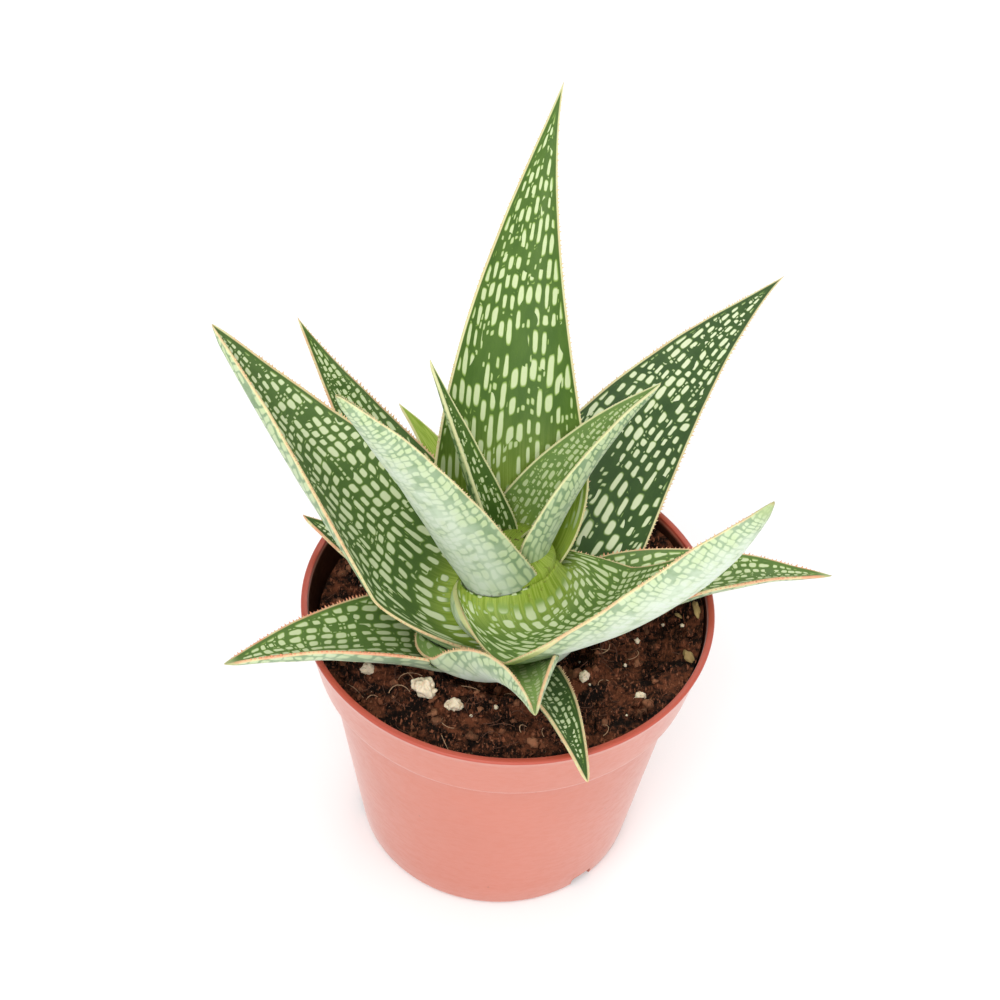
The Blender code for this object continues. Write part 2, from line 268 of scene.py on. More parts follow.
def blend(tree, share, first, second):
    """The first colour where share is 0 and the second where it is 1."""
    colours = [(*colour, 1.0) if isinstance(colour, tuple) else colour for colour in (first, second)]
    return add(tree, "ShaderNodeMix", {0: share, 6: colours[0], 7: colours[1]}, data_type="RGBA").outputs[2]


def speckle(tree, vector, scale, detail=2.0, roughness=0.5):
    values = {"Vector": vector, "Scale": scale, "Detail": detail, "Roughness": roughness}
    return add(tree, "ShaderNodeTexNoise", values).outputs["Fac"]


def stretched(tree, vector, scale):
    return add(tree, "ShaderNodeMapping", {"Vector": vector, "Scale": scale}).outputs[0]


def new_finish(name, roughness=0.5):
    """A material with its shader, ready for its colour to be linked."""
    made = bpy.data.materials.new(name)
    made.use_nodes = True
    tree = made.node_tree
    shader = tree.nodes["Principled BSDF"]
    shader.inputs["Roughness"].default_value = roughness
    return made, tree, shader


def object_place(tree):
    return add(tree, "ShaderNodeTexCoord").outputs["Object"]


def stored(tree, name, output="Fac"):
    """What store() kept on the points."""
    return add(tree, "ShaderNodeAttribute", attribute_name=name).outputs[output]


def split(tree, vector):
    return add(tree, "ShaderNodeSeparateXYZ", {0: vector}).outputs


def vectors(tree, operation, first, second=(0, 0, 0), output="Vector"):
    return add(tree, "ShaderNodeVectorMath", {0: first, 1: second}, operation=operation).outputs[output]


def wander(tree, place, scale, detail, reach):
    """How far smooth noise moves each place, to add to it."""
    drift = add(tree, "ShaderNodeTexNoise",
                {"Vector": place, "Scale": scale, "Detail": detail}).outputs["Color"]
    return vectors(tree, "MULTIPLY", vectors(tree, "SUBTRACT", drift, (0.5, 0.5, 0.5)), reach)


def relief(tree, shader, height, strength, distance):
    bump = add(tree, "ShaderNodeBump", {"Height": height, "Strength": strength, "Distance": distance})
    tree.links.new(bump.outputs[0], shader.inputs["Normal"])


# Leaf skin ----------------------------------------------------------

def dashes(tree, place, offset, scale, stagger, width, length, kept, plump):
    """Pale dashes in rows along the leaf, as how far inside a dash a place is (0 at its edge).

    Every row is cut into cells, and a kept cell holds one dash of its own width and length."""
    spot = add(tree, "ShaderNodeMapping", {"Vector": place, "Location": offset, "Scale": scale}).outputs[0]
    across, along = split(tree, spot)[:2]
    row = maths(tree, "FLOOR", across)
    shift = add(tree, "ShaderNodeTexWhiteNoise", {"W": row}, noise_dimensions="1D").outputs["Value"]
    along = maths(tree, "MULTIPLY_ADD", shift, stagger, along)
    seed = add(tree, "ShaderNodeCombineXYZ", {0: row, 1: maths(tree, "FLOOR", along)}).outputs[0]
    colour = add(tree, "ShaderNodeTexWhiteNoise", {"Vector": seed}, noise_dimensions="2D").outputs["Color"]
    first, second, third = split(tree, colour)
    half_width = add(tree, "ShaderNodeMapRange", {0: first, 3: width[0], 4: width[1]}).outputs[0]
    half_width = maths(tree, "MULTIPLY", half_width, plump)
    half_length = add(tree, "ShaderNodeMapRange", {0: second, 3: length[0], 4: length[1]}).outputs[0]
    parts = []
    for distance, half_size, squareness in ((across, half_width, 3.0), (along, half_length, 4.0)):
        off_middle = maths(tree, "ABSOLUTE", maths(tree, "SUBTRACT", maths(tree, "FRACT", distance), 0.5))
        parts.append(maths(tree, "POWER", maths(tree, "DIVIDE", off_middle, half_size), squareness))
    reach = maths(tree, "POWER", maths(tree, "ADD", *parts), 0.33)
    dropped = maths(tree, "GREATER_THAN", third, kept)
    return maths(tree, "SUBTRACT", maths(tree, "SUBTRACT", 1.0, reach), maths(tree, "MULTIPLY", dropped, 9.0))


def make_leaf_skin():
    skin, tree, shader = new_finish("leaf_skin", 0.42)
    flat = add(tree, "ShaderNodeUVMap", uv_map="skin").outputs[0]
    place = vectors(tree, "ADD", flat, wander(tree, flat, 0.30, 0.0, (0.5, 1.6, 0.0)))
    shade, glow, blush = split(tree, stored(tree, "skin_mix", "Vector"))
    outer, edge, frost = split(tree, stored(tree, "skin_place", "Vector"))
    tip = stored(tree, "skin_tip")

    # Where the dashes of the inner face are.
    bands = speckle(tree, stretched(tree, flat, (0.12, 0.75, 1.0)), 1.0, 2.0, 0.6)
    plump = ramp(tree, bands, 0.32, 0.62, 0.72, 1.10)
    plump = maths(tree, "MULTIPLY", plump, maths(tree, "MULTIPLY_ADD", frost, 0.30, 0.92))
    crowded = ramp(tree, speckle(tree, stretched(tree, flat, (0.33, 0.42, 1.0)), 1.0, 1.0),
                   0.34, 0.60, -0.25, 0.35)
    kept = maths(tree, "ADD", crowded, maths(tree, "MULTIPLY_ADD", frost, 0.45, 0.42))
    dotted = maths(tree, "MULTIPLY_ADD", frost, 0.25, 0.18)
    large = dashes(tree, place, (0, 0, 0), (1.0, 1.0, 1.0), 0.75, (0.21, 0.33), (0.22, 0.48), kept, plump)
    small = dashes(tree, place, (5.3, 2.9, 0), (1.9, 2.7, 1.0), 0.9, (0.18, 0.42), (0.20, 0.44),
                   dotted, plump)
    apart = ramp(tree, large, -1.0, -0.5, 1.0, 0.0)
    small = maths(tree, "MULTIPLY", ramp(tree, small, -0.30, 0.40, 0.0, 0.8), apart)
    spots = maths(tree, "MAXIMUM", ramp(tree, large, -0.30, 0.26), small)
    spots = maths(tree, "MULTIPLY", spots, ramp(tree, edge, 0.55, 1.2))
    spots = maths(tree, "MULTIPLY", spots, ramp(tree, glow, 0.62, 0.90, 1.0, 0.0))

    # The inner face: green, yellow-green at the base, with a lighter ring round each dash.
    mottle = speckle(tree, flat, 0.6, 3.0)
    stripes = speckle(tree, stretched(tree, flat, (3.6, 0.22, 1.0)), 1.0, 2.0, 0.7)
    young = blend(tree, mottle, paint(54, 88, 20), paint(88, 118, 42))
    old = blend(tree, mottle, paint(39, 63, 32), paint(69, 95, 48))
    green = blend(tree, shade, young, old)
    paler = ramp(tree, shade, -1.0, 0.0, 1.0, 0.0)
    paler = maths(tree, "MAXIMUM", paler, ramp(tree, frost, 0.55, 0.90, 0.0, 0.17))
    green = blend(tree, paler, green, paint(146, 176, 104))
    base = blend(tree, ramp(tree, stripes, 0.42, 0.58), paint(128, 152, 44), paint(154, 174, 72))
    green = blend(tree, ramp(tree, glow, 0.15, 0.95), green, base)
    halo = blend(tree, shade, paint(134, 162, 72), paint(118, 144, 76))
    cream = blend(tree, shade, paint(186, 200, 150), paint(204, 212, 176))
    inside = blend(tree, ramp(tree, spots, 0.0, 0.5), green, halo)
    inside = blend(tree, ramp(tree, spots, 0.4, 1.0), inside, cream)

    # The outer face: crowded pale blotches, whiter on the leaves with a bloom and away from the margin.
    patchy = speckle(tree, flat, 0.55, 2.0)
    whiter = maths(tree, "MULTIPLY", frost, ramp(tree, edge, 0.8, 7.0, 0.42, 1.0))
    whiter = maths(tree, "MULTIPLY", whiter, ramp(tree, patchy, 0.30, 0.62, 0.70, 1.12))
    plumper = maths(tree, "MULTIPLY_ADD", whiter, 0.25, 0.90)
    rippled = vectors(tree, "ADD", wander(tree, flat, 1.1, 1.0, (0.6, 0.6, 0.0)), place)
    blotch_size = (0.28, 0.52)
    blotches = dashes(tree, rippled, (11.7, 0, 0), (1.0, 1.05, 1.0), 1.0, blotch_size, blotch_size,
                      0.92, plumper)
    ground = blend(tree, whiter, paint(86, 120, 64), paint(192, 206, 184))
    bloom = blend(tree, whiter, paint(174, 192, 134), paint(198, 208, 194))
    outside = blend(tree, ramp(tree, blotches, -0.30, 0.30), ground, bloom)
    outside = blend(tree, ramp(tree, glow, 0.3, 1.0, 0.0, 0.6), outside, paint(170, 196, 100))

    # The margin, the tip and the dirt at the heart.
    body = blend(tree, ramp(tree, outer, 0.35, 0.65), inside, outside)
    flush = ramp(tree, speckle(tree, flat, 0.45, 2.0), 0.30, 0.70, 0.35, 1.25)
    rim_colour = blend(tree, maths(tree, "MULTIPLY", blush, flush),
                       paint(216, 220, 166), paint(222, 160, 126))
    clasping = maths(tree, "MULTIPLY", outer, maths(tree, "GREATER_THAN", frost, 0.93))
    collar = maths(tree, "MULTIPLY", clasping, ramp(tree, tip, 0.25, 0.42, 1.5, 0.0))
    rim_colour = blend(tree, ramp(tree, collar, 0.0, 1.5, 0.0, 0.75), rim_colour, paint(206, 214, 146))
    rim_width = maths(tree, "ADD", collar, ramp(tree, tip, 0.6, 1.0, 0.10, 0.0))
    rim = ramp(tree, maths(tree, "SUBTRACT", edge, rim_width), 0.0, 0.26, 0.9, 0.0)
    body = blend(tree, rim, body, rim_colour)
    washed = maths(tree, "MULTIPLY", ramp(tree, frost, 0.74, 0.84, 0.0, 0.8), ramp(tree, tip, 0.93, 0.98))
    body = blend(tree, washed, body, paint(158, 174, 122))
    body = blend(tree, ramp(tree, tip, 0.985, 1.0, 0.0, 0.5), body, paint(186, 156, 106))

    crown = vectors(tree, "DISTANCE", object_place(tree), (0, 0, CROWN_HEIGHT * MM), "Value")
    near = ramp(tree, crown, 9.4 * MM, 12.5 * MM, 1.0, 0.0)
    dirt = speckle(tree, object_place(tree), 880.0, 3.0, 0.75)
    body = blend(tree, maths(tree, "MULTIPLY", near, ramp(tree, dirt, 0.58, 0.64)), body, paint(88, 66, 34))
    tree.links.new(body, shader.inputs["Base Color"])

    fine = speckle(tree, flat, 4.5, 3.0)
    rough = ramp(tree, fine, 0.3, 0.7, 0.36, 0.50)
    tree.links.new(maths(tree, "MULTIPLY_ADD", outer, 0.12, rough), shader.inputs["Roughness"])
    height = maths(tree, "MULTIPLY_ADD", stripes, 0.5, maths(tree, "MULTIPLY_ADD", spots, 0.35, fine))
    relief(tree, shader, height, 0.35, 0.12 * MM)
    shader.inputs["Specular IOR Level"].default_value = 0.2
    shader.inputs["Subsurface Weight"].default_value = 0.06
    shader.inputs["Subsurface Radius"].default_value = (0.6, 1.0, 0.3)
    shader.inputs["Subsurface Scale"].default_value = 1.2 * MM
    return skin


def make_tooth_skin():
    skin, tree, shader = new_finish("tooth_skin", 0.45)
    tint = stored(tree, "tooth_tip")
    blush = split(tree, stored(tree, "skin_mix", "Vector"))[2]
    foot = blend(tree, blush, paint(222, 220, 168), paint(228, 170, 132))
    point = blend(tree, blush, paint(226, 196, 156), paint(206, 112, 74))
    tree.links.new(blend(tree, tint, foot, point), shader.inputs["Base Color"])
    return skin


# Leaf shape ---------------------------------------------------------

def leaf_faces(leaf, s, t):
    """Grids (stations, columns, 3) of the inner and the outer face, in millimetres, and the half width."""
    start = math.radians(leaf.azimuth)
    rise = np.radians(leaf.rise + leaf.curl * s)
    heading = np.radians(leaf.azimuth + leaf.sweep * s)
    along = np.stack([np.cos(rise) * np.cos(heading), np.cos(rise) * np.sin(heading), np.sin(rise)], -1)
    level = np.stack([-np.sin(heading), np.cos(heading), 0 * s], -1)
    above = np.cross(along, level)
    steps = 0.5 * (along[1:] + along[:-1]) * (np.diff(s) * leaf.length)[:, None]
    base = np.array([leaf.radius * np.cos(start), leaf.radius * np.sin(start), leaf.height])
    midrib = base + np.concatenate([np.zeros((1, 3)), np.cumsum(steps, axis=0)])
    midrib += level * (leaf.bow * s ** 2)[:, None]

    roll = np.radians(leaf.roll + leaf.twist * s)[:, None]
    side = np.cos(roll) * level + np.sin(roll) * above
    normal = np.cos(roll) * above - np.sin(roll) * level
    half_width = 0.5 * leaf.width * (1 - s ** 1.5) ** leaf.taper
    half_width = half_width * (1 - PINCHES.get(leaf.name, 0.0) * eased((s - PINCH_START) / (1 - PINCH_START)))
    cup = np.radians(leaf.cup_base * (1 - s) + leaf.cup_tip * s)[:, None]
    across = half_width[:, None] * np.sin(cup * t) / cup
    depth = half_width[:, None] * (1 - np.cos(cup * t)) / cup
    blade = midrib[:, None] + across[..., None] * side[:, None] + depth[..., None] * normal[:, None]

    reach = leaf.radius + leaf.flare * (np.hypot(midrib[:, 0], midrib[:, 1]) - leaf.radius)
    lift = leaf.height + leaf.flare * (midrib[:, 2] - leaf.height)
    arc = start + np.radians(leaf.clasp) * t
    collar = np.stack([reach[:, None] * np.cos(arc), reach[:, None] * np.sin(arc), lift[:, None] + 0 * t], -1)
    weight = eased(s / leaf.collar)[:, None, None]
    inner = (1 - weight) * collar + weight * blade

    inward = np.cross(np.gradient(inner, s, axis=0), np.gradient(inner, t, axis=1))
    inward /= np.linalg.norm(inward, axis=-1, keepdims=True) + 1e-9
    inward[-1] = inward[-2]
    flesh = leaf.thickness * (2 * half_width / leaf.width)[:, None] ** 0.8 * (1 - np.abs(t) ** 2.2)
    fade = np.clip((1 - s) / 0.05, 0, 1)[:, None] ** 0.5
    outer = inner - inward * ((MARGIN_THICKNESS + flesh) * fade)[..., None]
    return inner, outer, half_width


def climbing(climb, inner, t):
    """How much higher a clasping leaf's inner face runs up against the heart of the plant."""
    radius = np.hypot(inner[..., 0], inner[..., 1])
    turn = np.degrees(np.arctan2(inner[..., 1], inner[..., 0]))
    away = np.abs((turn - climb.azimuth + 180) % 360 - 180)
    slope = np.clip(1 - (radius - climb.radius) / climb.reach, 0, 1) ** 2
    front = np.clip((climb.span - away) / 30, 0, 1)
    return climb.rise * slope * front * (1 - np.abs(t) ** 3)


def leaf_blade(leaf, number, skin):
    """One leaf: a grid rolled into a closed skin, with its colouring stored on its points."""
    dress = DRESS[leaf.name]
    columns = 40 if leaf.width > 20 else 24
    stations = int(leaf.length * 1.5) + 20
    around = 2 * columns + 2
    bpy.ops.object.select_all(action="DESELECT")
    bpy.ops.mesh.primitive_grid_add(x_subdivisions=around, y_subdivisions=stations, size=2)
    blade = named(leaf.name + "_blade")
    flat = places(blade)
    column = np.rint((flat[:, 0] + 1) / 2 * around).astype(int)
    station = np.rint((flat[:, 1] + 1) / 2 * stations).astype(int)

    s = np.linspace(0, 1, stations + 1)
    s = s + 0.08 * np.sin(2 * np.pi * s) / (2 * np.pi)
    t = np.sin(np.linspace(-0.5, 0.5, columns + 1) * np.pi * 0.92) / np.sin(0.46 * np.pi)
    inner, outer, half_width = leaf_faces(leaf, s, t)
    if leaf.name in CLIMBS:
        inner[..., 2] += climbing(CLIMBS[leaf.name], inner, t)
    loop = np.concatenate([inner, outer[:, ::-1], inner[:, :1]], axis=1)
    spread = np.concatenate([t, t[::-1], t[:1]])
    side = np.concatenate([0 * t, 1 + 0 * t, [0]])
    ripple = np.array([[noise(Vector(point) / RIPPLE_SIZE + Vector((number, 0, 0))) for point in row]
                       for row in loop])
    loop[..., 2] += (RIPPLE_DEPTH * ripple * np.clip(s * 6, 0, 1)[:, None]
                     * np.clip((1 - s) * 8, 0, 1)[:, None])
    move_points(blade, loop[station, column] * MM)

    edge = half_width[:, None] * (1 - np.abs(spread))
    glow = np.clip(1 - s / max(dress.glow, 1e-3), 0, 1)
    store(blade, "skin_mix",
          np.stack([dress.shade + 0 * station, glow[station], dress.blush + 0 * station], -1))
    store(blade, "skin_place",
          np.stack([side[column], edge[station, column], dress.frost + 0 * station], -1))
    store(blade, "skin_tip", s[station])

    skin_map = blade.data.uv_layers[0]
    skin_map.name = "skin"
    corners = np.empty(2 * len(blade.data.loops))
    skin_map.data.foreach_get("uv", corners)
    corners = corners.reshape(-1, 2)
    column = np.rint(corners[:, 0] * around).astype(int)
    station = np.rint(corners[:, 1] * stations).astype(int)
    reach = spread[column] * (0.8 * half_width[station] + 0.2 * half_width.max()) / dress.row
    run = -np.log(1 - TIGHTENING * s[station]) / TIGHTENING * leaf.length / dress.step
    corners = np.stack([reach + 41.0 * number + 20.0, run + 17.0 * number], -1)
    skin_map.data.foreach_set("uv", corners.ravel())

    edit_all(blade)
    bpy.ops.mesh.remove_doubles(threshold=0.002 * MM)
    bpy.ops.mesh.select_all(action="DESELECT")
    bpy.ops.mesh.select_mode(type="EDGE")
    bpy.ops.mesh.select_non_manifold(extend=False, use_wire=False, use_multi_face=False,
                                     use_non_contiguous=False, use_verts=False)
    bpy.ops.mesh.fill(use_beauty=True)
    bpy.ops.mesh.select_all(action="SELECT")
    face_outwards()
    smooth(blade)
    blade.data.materials.append(skin)
    return blade


def tooth_pattern():
    """One claw of unit length along +Y, leaning towards +X, with its foot at the origin."""
    bpy.ops.mesh.primitive_cone_add(vertices=6, radius1=0.36, radius2=0.0, depth=1.0, end_fill_type="TRIFAN")
    tooth = named("tooth_pattern")
    points = places(tooth)
    up = points[:, 2] + 0.5
    points = np.stack([points[:, 0] * 1.25 + 0.35 * up ** 1.5, up - 0.12, points[:, 1] * 0.7], -1)
    move_points(tooth, points)
    store(tooth, "tooth_tip", np.clip(up, 0, 1))
    return tooth


def surface(item):
    return BVHTree.FromObject(item, bpy.context.evaluated_depsgraph_get())


def swollen_copy(blade):
    """The leaf grown a little along its normals, to trim its neighbours with."""
    cutter = linked_copy(blade)
    cutter.name = blade.name + "_cutter"
    applied(cutter, "DISPLACE", strength=CLEARANCE * MM, mid_level=0.0)
    return cutter


def trim(blade, cutters):
    """Cuts the younger leaves' room out of an older leaf, and drops what is left loose."""
    for cutter in cutters:
        if not surface(blade).overlap(surface(cutter)):
            continue
        applied(blade, "BOOLEAN", operation="DIFFERENCE", solver="MANIFOLD", object=cutter)
        name = blade.name
        edit_all(blade)
        bpy.ops.mesh.separate(type="LOOSE")
        bpy.ops.object.mode_set(mode="OBJECT")
        bodies = sorted(bpy.context.selected_objects, key=lambda body: -len(body.data.vertices))
        blade = bodies[0]
        discard(bodies[1:])
        blade.name = name
    return blade


def leaf_teeth(leaf, number, pattern, skin, blade):
    """The row of claws along each margin, wherever the margin is still there after trimming."""
    dress = DRESS[leaf.name]
    if dress.tooth == 0:
        return
    chance = np.random.default_rng(100 + number)
    near = surface(blade)
    last = 399
    s = np.linspace(0, 1, last + 1)
    t = np.array([-1.0, -0.9, 0.9, 1.0])
    inner, outer, half_width = leaf_faces(leaf, s, t)
    teeth = []
    for edge, next_in in ((0, 1), (3, 2)):
        line = 0.5 * (inner[:, edge] + outer[:, edge])
        run = np.concatenate([[0], np.cumsum(np.linalg.norm(np.diff(line, axis=0), axis=1))])
        reach = TEETH_START * run[-1]
        while reach < TEETH_END * run[-1]:
            at = int(np.searchsorted(run, reach))
            reach += chance.uniform(0.75, 1.2) * (0.62 + 0.45 * dress.tooth)
            size = dress.tooth * chance.uniform(0.55, 1.15) * min(1.0, 0.45 + half_width[at] / 6)
            foot = Vector(line[at]) * MM
            if near.find_nearest(foot)[3] > 0.45 * MM:
                continue
            forward = Vector(line[min(at + 3, last)] - line[max(at - 3, 0)]).normalized()
            outward = Vector(inner[at, edge] - inner[at, next_in]).normalized()
            outward = (outward - forward * outward.dot(forward)).normalized()
            claw = linked_copy(pattern)
            turn = Matrix((forward, outward, forward.cross(outward))).transposed().to_4x4()
            claw.matrix_world = Matrix.Translation(foot) @ turn @ Matrix.Scale(size * MM, 4)
            teeth.append(claw)
    row = joined(leaf.name + "_teeth", teeth)
    settle(row)
    store(row, "skin_mix", np.tile((dress.shade, 0.0, dress.blush), (len(row.data.vertices), 1)))
    edit_all(row)
    face_outwards()
    smooth(row)
    finish(row, skin)


def make_leaves(skin):
    """Young leaves first: each older leaf gives way to the younger ones it would run into."""
    tooth_skin = make_tooth_skin()
    pattern = tooth_pattern()
    cutters = []
    for number, leaf in enumerate(LEAVES):
        blade = trim(leaf_blade(leaf, number, skin), cutters)
        cutters.append(swollen_copy(blade))
        finish(blade, skin, leaf.name)
        leaf_teeth(leaf, number, pattern, tooth_skin, blade)
    discard([pattern, *cutters])


# Pot ----------------------------------------------------------------

POT_PROFILE = (
    (23.0, 0.0), (23.4, 0.5), (26.6, 0.5), (27.0, 0.0), (29.3, 0.0), (29.9, 0.12), (30.3, 0.45), (30.5, 1.0),
    (31.4, 7.4), (33.2, 20.5), (35.0, 33.5), (36.7, 45.8), (37.5, 51.4), (37.7, 52.1), (38.2, 52.35),
    (39.0, 52.45), (39.5, 52.65), (39.75, 53.0), (39.9, 53.6), (40.8, 58.4), (41.9, 63.9), (42.2, 65.1),
    (42.42, 65.5), (42.5, 65.8), (42.42, 66.05), (42.2, 66.2), (41.5, 66.2), (41.2, 66.08), (41.1, 65.8),
    (41.0, 65.0), (40.3, 61.2), (39.2, 55.6), (38.5, 53.2), (36.9, 51.7), (36.25, 50.6),
    (33.0, 28.0), (29.4, 3.0), (28.9, 2.1), (28.0, 1.65))
POT_SEGMENTS = 180
FLOOR_HEIGHT = 1.6
CREASE = math.radians(42)           # a bend sharper than this stays an edge
FOOT_RADIUS = 29.0                  # where the drain slots go through the foot
DRAIN_AZIMUTHS = (-49.0, 71.0, 191.0)
DRAIN_SLOT = (5.0, 5.4, 5.6)        # in and out, across, and up and down
DRAIN_ROUNDING = 0.8
LIP_FOOT = 65.45                    # where the darker lip starts
SHADE_AND_CRUST_FOOT = 52.6                   # the inside between these heights is painted dark brown, for soil dried on it and painted shade under the lip
SHADE_AND_CRUST_TOP = 65.2
WALL_SLOPE = 0.2                    # a surface between the pot's inner and outer wall: its slope, and its
WALL_START = 28.6                   # radius at the ground


def turned(name, profile, segments, last_centre):
    """A turned solid: a ring, then one extrusion and one scaling per point, then both ends closed."""
    radius, height = profile[0]
    bpy.ops.object.select_all(action="DESELECT")
    bpy.ops.mesh.primitive_circle_add(vertices=segments, radius=radius * MM, fill_type="TRIFAN",
                                      location=(0, 0, height * MM))
    item = named(name)
    settle(item)
    bpy.ops.object.mode_set(mode="EDIT")
    bpy.ops.mesh.select_mode(type="EDGE")
    bpy.ops.mesh.select_all(action="DESELECT")
    bpy.ops.mesh.select_non_manifold()
    for next_radius, next_height in profile[1:]:
        rise = (next_height - height) * MM
        bpy.ops.mesh.extrude_edges_move(TRANSFORM_OT_translate={"value": (0, 0, rise)})
        share = next_radius / radius
        bpy.ops.transform.resize(value=(share, share, 1), center_override=(0, 0, next_height * MM))
        radius, height = next_radius, next_height
    bpy.ops.mesh.extrude_edges_move(TRANSFORM_OT_translate={"value": (0, 0, (last_centre - height) * MM)})
    bpy.ops.mesh.merge(type="CENTER")
    bpy.ops.mesh.select_all(action="SELECT")
    face_outwards()
    bpy.ops.object.shade_smooth_by_angle(angle=CREASE)
    return item


def make_pot_plastic(name, sheen, gloss):
    """The pot's plastic, with the inside above the bed painted dark brown: soil dried on it and painted shade."""
    plastic, tree, shader = new_finish(name, 0.42)
    place = object_place(tree)
    height = split(tree, place)[2]
    cloud = speckle(tree, place, 38.0, 3.0)
    body = blend(tree, cloud, paint(178, 100, 80), paint(188, 110, 91))
    lip = ramp(tree, height, LIP_FOOT * MM, (LIP_FOOT + 0.25) * MM)
    body = blend(tree, lip, body, paint(168, 68, 48))
    radius = vectors(tree, "LENGTH", vectors(tree, "MULTIPLY", place, (1.0, 1.0, 0.0)), output="Value")
    wall = maths(tree, "MULTIPLY_ADD", height, WALL_SLOPE, WALL_START * MM)
    inside = ramp(tree, maths(tree, "SUBTRACT", radius, wall), -0.2 * MM, 0.1 * MM, 1.0, 0.0)
    # Painted shade and dried soil: the inside wall above the bed, under the lip, turns near-black brown.
    shade_and_crust_mask = ramp(tree, height, (SHADE_AND_CRUST_TOP - 0.8) * MM, (SHADE_AND_CRUST_TOP + 0.4) * MM, 1.0, 0.0)
    shade_and_crust_mask = maths(tree, "MULTIPLY", shade_and_crust_mask, ramp(tree, height, SHADE_AND_CRUST_FOOT * MM, (SHADE_AND_CRUST_FOOT + 0.3) * MM))
    shade_and_crust_mask = maths(tree, "MULTIPLY", inside, shade_and_crust_mask)
    shade_and_crust_colour = blend(tree, speckle(tree, place, 700.0, 4.0, 0.7), paint(20, 9, 5), paint(66, 34, 22))
    body = blend(tree, shade_and_crust_mask, body, shade_and_crust_colour)
    scuffs = speckle(tree, stretched(tree, place, (1.0, 1.0, 3.0)), 420.0, 4.0, 0.7)
    body = blend(tree, ramp(tree, scuffs, 0.68, 0.78, 0.0, 0.25), body, paint(240, 196, 178))
    dust = add(tree, "ShaderNodeTexVoronoi", {"Vector": place, "Scale": 260.0, "Randomness": 1.0})
    grain = maths(tree, "SUBTRACT", 0.09, dust.outputs["Distance"])
    chosen = split(tree, dust.outputs["Color"])[0]
    dirt = maths(tree, "MULTIPLY", ramp(tree, grain, 0.0, 0.04), ramp(tree, chosen, 0.90, 0.92))
    body = blend(tree, maths(tree, "MULTIPLY", dirt, 0.7), body, paint(120, 72, 54))
    tree.links.new(body, shader.inputs["Base Color"])
    tree.links.new(ramp(tree, scuffs, 0.35, 0.75, 0.38, 0.55), shader.inputs["Roughness"])
    relief(tree, shader, speckle(tree, place, 900.0, 2.0), 0.12, 0.05 * MM)
    shader.inputs["Subsurface Weight"].default_value = 0.05
    shader.inputs["Subsurface Radius"].default_value = (1.0, 0.4, 0.25)
    shader.inputs["Subsurface Scale"].default_value = 1.5 * MM
    shader.inputs["Sheen Weight"].default_value = sheen
    shader.inputs["Sheen Roughness"].default_value = 0.35
    shader.inputs["Specular IOR Level"].default_value = gloss
    return plastic


def make_pot():
    pot = turned("nursery_pot", POT_PROFILE, POT_SEGMENTS, FLOOR_HEIGHT)
    slots = []
    for azimuth in DRAIN_AZIMUTHS:
        angle = math.radians(azimuth)
        place = (FOOT_RADIUS * MM * math.cos(angle), FOOT_RADIUS * MM * math.sin(angle), 0)
        bpy.ops.object.select_all(action="DESELECT")
        bpy.ops.mesh.primitive_cube_add(size=1.0, location=place, rotation=(0, 0, angle),
                                        scale=tuple(side * MM for side in DRAIN_SLOT))
        slot = named("drain_slot")
        settle(slot)
        applied(slot, "BEVEL", width=DRAIN_ROUNDING * MM, segments=4)
        slots.append(slot)
    for slot in slots:
        applied(pot, "BOOLEAN", operation="DIFFERENCE", object=slot)
    discard(slots)
    only(pot)
    bpy.ops.object.shade_smooth_by_angle(angle=CREASE)
    finish(pot, make_pot_plastic("pot_plastic", 0.35, 0.5), "pot")
    # The inside wall above the bed gets a matt copy without sheen, for its painted shade and dried soil.
    pot.data.materials.append(make_pot_plastic("shaded_crusted_plastic", 0.0, 0.1))
    for face in pot.data.polygons:
        x, y, z = face.center / MM
        if SHADE_AND_CRUST_FOOT < z < SHADE_AND_CRUST_TOP and math.hypot(x, y) < WALL_SLOPE * z + WALL_START:
            face.material_index = 1


# Soil ---------------------------------------------------------------

SOIL_WALL = ((26.8, 1.95), (27.8, 2.2), (28.5, 3.0), (32.2, 28.0), (35.75, 50.9), (37.0, 52.6), (38.4, 54.6),
             (39.0, 57.2))
SOIL_LEVEL = 59.0
SOIL_EDGE = 39.2
SOIL_RINGS = 95
HEAP_AZIMUTH = 0.0
HEAP_START = 29.0
HEAP_RISE = 4.6
HEAP_SPREAD = 0.27          # how far the edge moves out for each millimetre it rises
HOLLOW_RADIUS = 16.0
HOLLOW_BANK = 5.0
HOLLOW_FLOOR = 54.5
CROWN_ROOM = 15.5           # loose bits stay outside this radius
CRUMBS = 1700
# Strands of fibre: how many, and the two colours they vary between.
FIBRES = (
    ("dark_fibre", 150, (70, 42, 30), (110, 70, 50)),
    ("pale_fibre", 55, (170, 130, 98), (206, 172, 138)),
)
FIBRE_STEPS = 6
SMALL_GRAINS = 26
# A large grain is three lumps grown together: the size of each and how far it is off the middle, as shares.
GRAIN_LUMPS = ((0.86, 0.0), (0.58, 0.34), (0.50, 0.30))
# Each bit of bark: x, y, width, length and turn.
CHIPS = ((38.9, 1.3, 1.6, 4.0, 5.0), (37.0, -11.2, 2.2, 3.0, 20.0), (35.4, 0.9, 1.0, 1.6, 60.0))


def heaped(x, y):
    """How much higher the soil lies against the wall, on the side where it was pushed up."""
    climb = eased((math.hypot(x, y) - HEAP_START) / (SOIL_EDGE - HEAP_START))
    facing = max(0.0, math.cos(math.atan2(y, x) - math.radians(HEAP_AZIMUTH)))
    return HEAP_RISE * climb * facing ** 0.7


